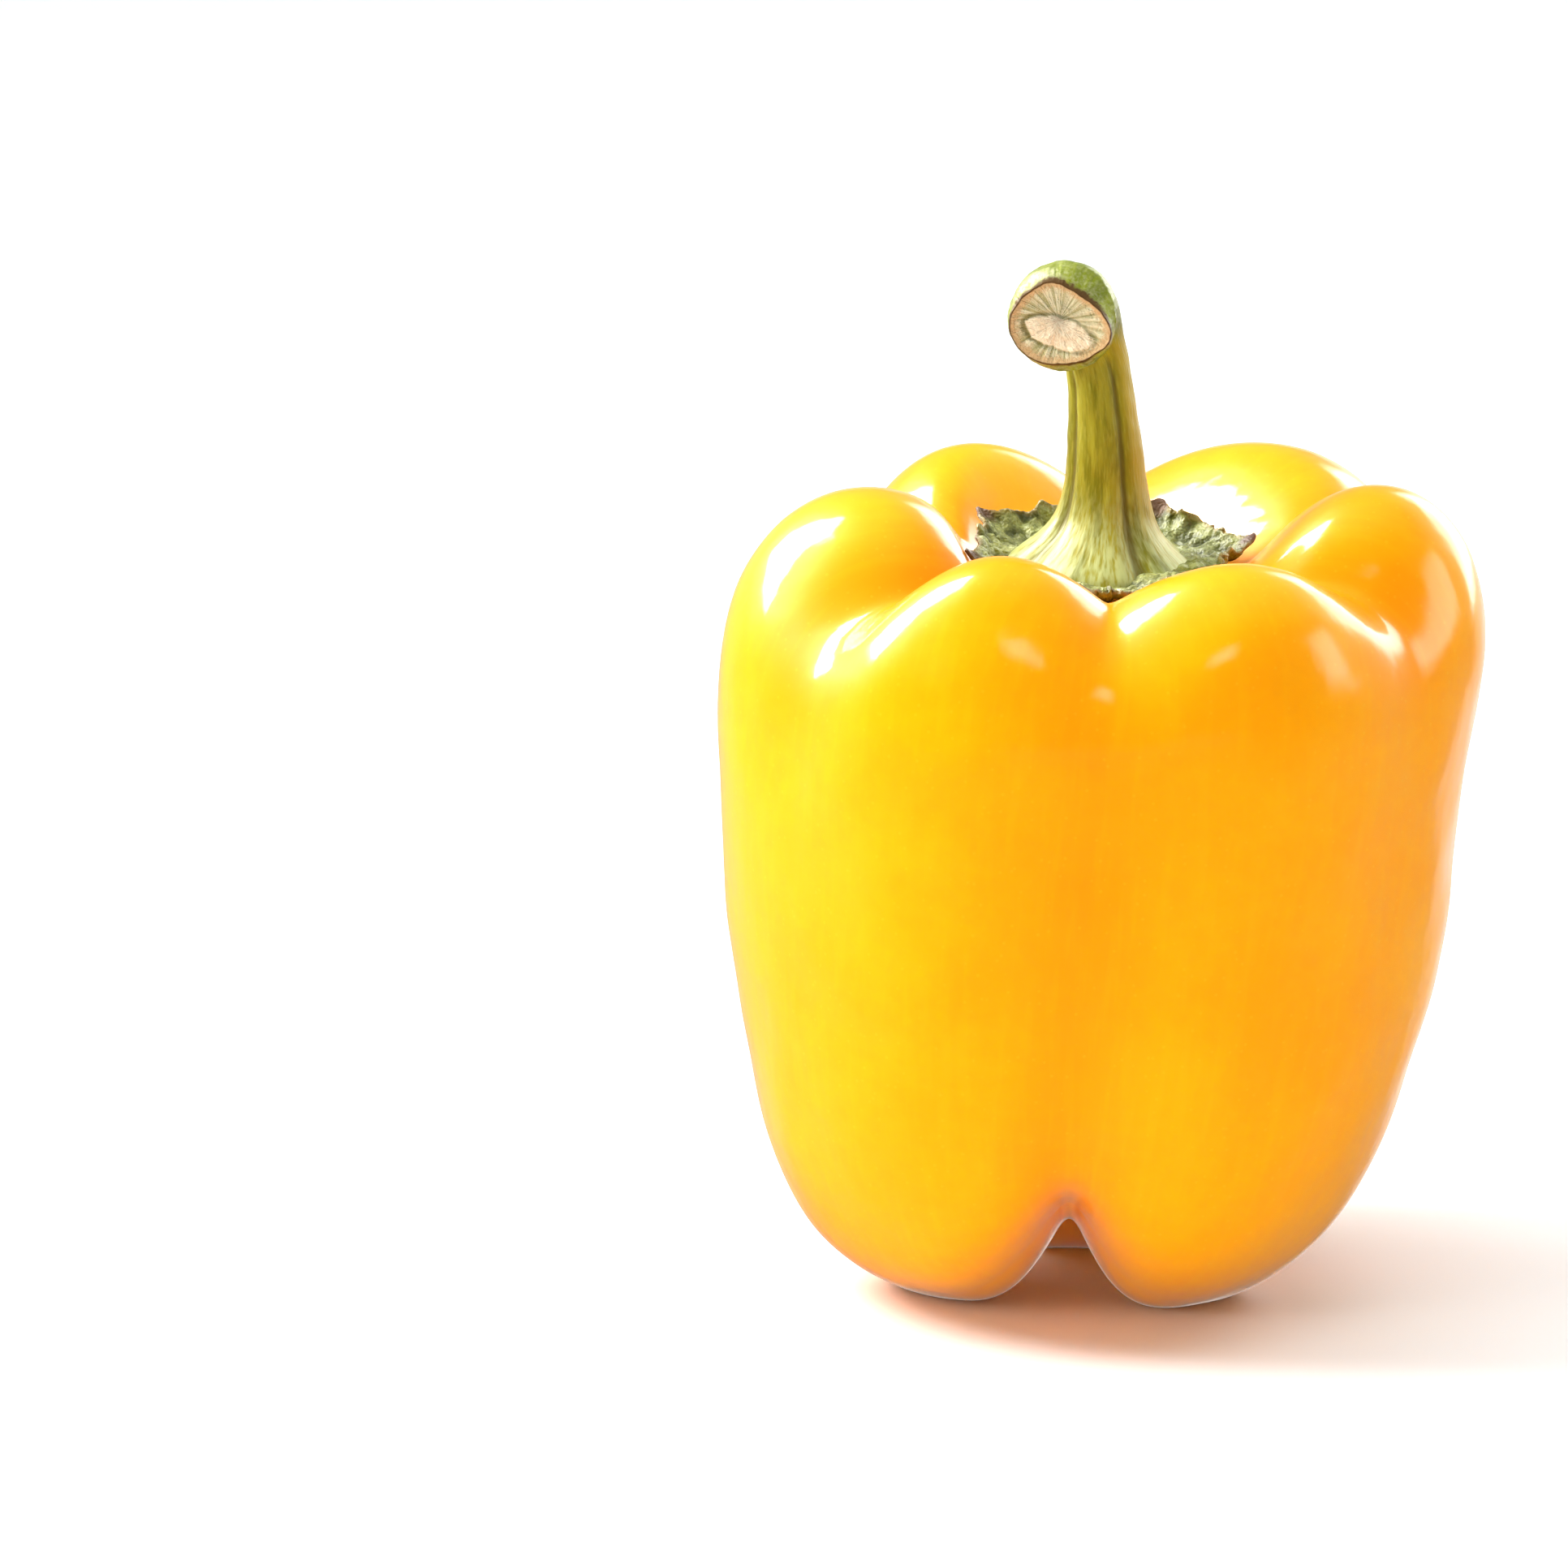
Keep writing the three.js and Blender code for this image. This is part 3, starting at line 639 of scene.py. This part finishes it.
fibre_skin, tree, shader = new_material("stalk_green")
shader.inputs["Specular IOR Level"].default_value = 0.24
shader.inputs["Specular Tint"].default_value = (1.0, 0.92, 0.5, 1)
at = millimetres(tree)
fibre = marked(tree, "fibre", "Vector")
along = marked(tree, "along")
strands = add(tree, "TexNoise", [("Vector", fibre), ("Scale", 0.9), ("Detail", 3.0), ("Roughness", 0.55)])
threads = add(tree, "TexNoise", [("Vector", fibre), ("Scale", 5.0), ("Detail", 2.0)])
stranded = fade(tree, strands.outputs[0], 0.36, 0.66)
colour = tint(tree, stranded, (0.17, 0.16, 0.004, 1), (0.32, 0.29, 0.018, 1))
threaded = calc(tree, "MULTIPLY", fade(tree, threads.outputs[0], 0.45, 0.75), 0.5)
colour = tint(tree, threaded, colour, (0.38, 0.36, 0.045, 1))
colour = tint(tree, fade(tree, marked(tree, "golden"), 0.1, 0.9), colour, (0.40, 0.30, 0.012, 1))
head = fade(tree, along, 25.0, 30.0)
streaky = fade(tree, strands.outputs[0], 0.35, 0.7)
green = tint(tree, streaky, (0.12, 0.15, 0.001, 1), (0.24, 0.28, 0.004, 1))
colour = tint(tree, head, colour, green)
foot = fade(tree, along, 11.0, 3.0)
silver = calc(tree, "MULTIPLY", foot, fade(tree, threads.outputs[0], 0.3, 0.62))
colour = tint(tree, calc(tree, "MULTIPLY", silver, 0.65), colour, (0.48, 0.55, 0.24, 1))
ribs = calc(tree, "MULTIPLY", foot, fade(tree, strands.outputs[0], 0.46, 0.38))
colour = tint(tree, calc(tree, "MULTIPLY", ribs, 0.5), colour, (0.13, 0.14, 0.01, 1))
# Painted shade: the grooves between the ribs are darkened to a deep green-brown.
groove = fade(tree, marked(tree, "groove"), 0.55, 1.0)
colour = tint(tree, calc(tree, "MULTIPLY", groove, 0.75), colour, (0.085, 0.065, 0.004, 1))
# Pale patches just below the cut: partly the stalk's own scuffs, partly painted glints of light.
scuff_and_glint_patches = use_group(tree, mottle, [
    ("Place", at), ("Patch Size", 2.2), ("Fleck Size", 0.4), ("Fleck Share", 0.5)])
near_cut = fade(tree, along, 34.0, 36.5)
scuffs_and_painted_glints = calc(tree, "MULTIPLY", calc(tree, "MULTIPLY", scuff_and_glint_patches["Mask"], near_cut), 0.45)
colour = tint(tree, scuffs_and_painted_glints, colour, (0.58, 0.56, 0.34, 1))
ragged = calc(tree, "ADD", along, calc(tree, "MULTIPLY", scuff_and_glint_patches["Mask"], 0.4))
bark = fade(tree, ragged, 36.9, 37.3)
colour = tint(tree, bark, colour, (0.085, 0.04, 0.012, 1))
relief_here = use_group(tree, relief, [
    ("Place", fibre), ("Wave Size", 0.8), ("Wave Height", 0.16),
    ("Grain Size", 0.2), ("Grain Height", 0.03)])
rough = calc(tree, "ADD", 0.34, calc(tree, "MULTIPLY", threads.outputs[0], 0.2))
wire(tree, shader, colour, rough, relief_here["Height"])

cut_wood, tree, shader = new_material("dry_cut")
shader.inputs["Specular IOR Level"].default_value = 0.2
face = marked(tree, "face", "Vector")
inward = marked(tree, "inward")
pith = marked(tree, "pith")
turn = add(tree, "VectorMath", [(0, face)], operation="NORMALIZE").outputs[0]
rays = add(tree, "TexNoise", [("Vector", turn), ("Scale", 7.0), ("Detail", 3.0), ("Roughness", 0.65)])
fuzz = use_group(tree, mottle, [
    ("Place", face), ("Patch Size", 1.3), ("Fleck Size", 0.3), ("Fleck Share", 0.5)])
colour = tint(tree, fade(tree, rays.outputs[0], 0.38, 0.62), (0.36, 0.33, 0.13, 1), (0.74, 0.70, 0.46, 1))
colour = tint(tree, calc(tree, "MULTIPLY", fuzz["Mask"], 0.35), colour, (0.76, 0.60, 0.36, 1))
outer = fade(tree, calc(tree, "ADD", inward, calc(tree, "MULTIPLY", fuzz["Mask"], 0.10)), 0.82, 1.0)
colour = tint(tree, outer, colour, (0.58, 0.38, 0.18, 1))
core = fade(tree, pith, 1.06, 0.94)
cream = tint(tree, fuzz["Mask"], (0.80, 0.63, 0.40, 1), (0.92, 0.82, 0.60, 1))
colour = tint(tree, core, colour, cream)
# Painted shade: a dark ring in the crack round the pith, strongest on the cut's left side.
painted_crack_shade = calc(tree, "MULTIPLY", fade(tree, pith, 0.98, 1.08), fade(tree, pith, 1.30, 1.12))
left_side = fade(tree, add(tree, "SeparateXYZ", [(0, face)]).outputs["X"], -0.6, -3.0)
painted_crack_shade = calc(tree, "MULTIPLY", painted_crack_shade, calc(tree, "ADD", 0.2, calc(tree, "MULTIPLY", left_side, 0.6)))
colour = tint(tree, painted_crack_shade, colour, (0.20, 0.16, 0.04, 1))
lip = fade(tree, inward, 0.965, 1.0)
colour = tint(tree, lip, colour, (0.20, 0.10, 0.035, 1))
fuzzy = calc(tree, "MULTIPLY", fuzz["Mask"], 0.12)
height = calc(tree, "ADD", calc(tree, "MULTIPLY", rays.outputs[0], 0.5), fuzzy)
wire(tree, shader, colour, calc(tree, "ADD", 0.7, calc(tree, "MULTIPLY", outer, 0.1)), height)

rings, marks = stalk_points()
stem = grid_mesh("pepper_stem", rings + place, fibre_skin)
stem.data.materials.append(cut_wood)
for name, values in marks.items():
    mark(stem, name, values)
inside = stem.data.attributes["inward"].data
# The cut's faces are those at the top of the stalk that reach inside its rim.
for polygon in stem.data.polygons:
    if min(inside[corner].value for corner in polygon.vertices) < 0.99 and polygon.center.z > 0.1:
        polygon.material_index = 1
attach(stem, "root")
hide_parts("stem")


# ---- Table, light and camera -----------------------------------------------------------------------
# A plain pale table top under soft studio light, seen from a little above the crown with a long lens.

floor_mesh = bpy.data.meshes.new("table_top")
floor_mesh.from_pydata([(-3, -3, 0), (3, -3, 0), (3, 3, 0), (-3, 3, 0)], [], [(0, 1, 2, 3)])
floor = bpy.data.objects.new("table_top", floor_mesh)
bpy.context.collection.objects.link(floor)
paper, tree, paper_shader = new_material("pale_table")
paper_shader.inputs["Base Color"].default_value = (0.88, 0.88, 0.88, 1)
paper_shader.inputs["Roughness"].default_value = 0.7
floor_mesh.materials.append(paper)
floor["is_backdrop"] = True
floor.visible_glossy = False


def area_light(name, place, aim, size, watts, soft_edge):
    """A softbox, whose cloth is dimmer towards its edges over this share of its half size."""
    lamp = bpy.data.lights.new(name, "AREA")
    lamp.shape = "RECTANGLE"
    lamp.size, lamp.size_y = size
    lamp.energy = watts
    lamp.use_nodes = True
    tree = lamp.node_tree
    across = add(tree, "SeparateXYZ", [(0, add(tree, "TexCoord").outputs["UV"])])
    masks = []
    for axis in ("X", "Y"):
        out_from_middle = calc(tree, "ABSOLUTE", calc(tree, "SUBTRACT", across.outputs[axis], 0.5))
        masks.append(fade(tree, out_from_middle, 0.5, 0.5 - 0.5 * soft_edge))
    tree.links.new(calc(tree, "MULTIPLY", *masks), tree.nodes["Emission"].inputs["Strength"])
    light = bpy.data.objects.new(name, lamp)
    light.location = place
    light.rotation_euler = (Vector(aim) - Vector(place)).to_track_quat("-Z", "Y").to_euler()
    bpy.context.collection.objects.link(light)
    return light


# Lamps that only shine in the skin, and lamps that only light it.
shining = [
    area_light("key_shine", (-0.56, 0.32, 0.62), (0, 0, 0.08), (0.34, 0.72), 55, 0.2),
    area_light("reflector_right", (0.95, -0.05, 0.45), (0, 0, 0.06), (0.70, 0.70), 16, 0.7),
    area_light("front_panel", (0.15, -0.72, 0.80), (0, 0, 0.09), (0.44, 0.30), 4.5, 0.8),
    area_light("pale_wall", (0.75, 1.00, 0.45), (0, 0, 0.06), (1.20, 1.00), 40, 0.5),
]
for light in shining:
    light.visible_diffuse = False
lighting = [
    area_light("key_left", (-0.60, 0.06, 0.64), (0, 0, 0.08), (0.40, 0.72), 21.5, 0.5),
    area_light("window_left", (-0.95, -0.70, 0.55), (0, 0, 0.06), (0.80, 0.70), 13, 0.9),
    area_light("fill_back", (0.80, 0.45, 0.70), (0.1, 0, 0), (0.60, 0.60), 6, 0.7),
    area_light("front_low", (0.05, -0.45, 0.05), (0, 0, 0.02), (0.50, 0.08), 0.5, 0.6),
    area_light("overhead", (0.1, 0.2, 1.3), (0, 0.1, 0), (1.4, 1.4), 26, 0.6),
]
DAYLIGHT = (0.84, 0.95, 1.0)
for light in lighting:
    light.visible_glossy = False
    if light.name in ("fill_back", "overhead"):
        light.data.color = DAYLIGHT

# The room is dim, but for the bright paper behind the pepper, which its edges mirror, most on the right.
ROOM_STRENGTH = 0.3
world = bpy.data.worlds.new("studio")
world.use_nodes = True
room = world.node_tree.nodes["Background"]
room.inputs["Color"].default_value = (1.0, 0.92, 0.84, 1)
tree = world.node_tree
towards = add(tree, "SeparateXYZ", [(0, add(tree, "TexCoord").outputs["Generated"])])
behind = fade(tree, towards.outputs["Y"], 0.60, 0.74)
below_top = fade(tree, towards.outputs["Z"], 0.20, 0.08)
above_foot = fade(tree, towards.outputs["Z"], -0.50, -0.32)
glow = calc(tree, "MULTIPLY", behind, calc(tree, "MULTIPLY", below_top, above_foot))
more_right = calc(tree, "MULTIPLY", fade(tree, towards.outputs["X"], -0.1, 0.2), 0.6)
glow = calc(tree, "MULTIPLY", glow, calc(tree, "ADD", 0.35, more_right))
tree.links.new(calc(tree, "ADD", ROOM_STRENGTH, glow), room.inputs["Strength"])
bpy.context.scene.world = world
bpy.context.scene.view_settings.view_transform = "Standard"

# The camera looks down on the crown by this angle, from this far. The view is so many times as wide as the
# pepper, aimed at a share of its height, and the pepper stands right of the middle by a share of the view.
VIEW_RISE = math.radians(13.5)
VIEW_DISTANCE = 1.5
VIEW_WIDTH = 2.052
AIM_HEIGHT = 0.483
RIGHT_OF_MIDDLE = 0.2016
low, high = (Vector(corner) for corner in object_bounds())
frame_width = VIEW_WIDTH * (high.x - low.x)
aim = Vector((0, 0, AIM_HEIGHT * high.z))
back = Vector((0, -math.cos(VIEW_RISE), math.sin(VIEW_RISE)))
camera_data = bpy.data.cameras.new("camera")
camera_data.sensor_width = 36
camera_data.lens = camera_data.sensor_width * VIEW_DISTANCE / frame_width
camera_data.clip_end = 10
camera = bpy.data.objects.new("camera", camera_data)
camera.location = aim + back * VIEW_DISTANCE
aim.x -= RIGHT_OF_MIDDLE * frame_width
camera.rotation_euler = (aim - camera.location).to_track_quat("-Z", "Y").to_euler()
bpy.context.collection.objects.link(camera)
bpy.context.scene.camera = camera
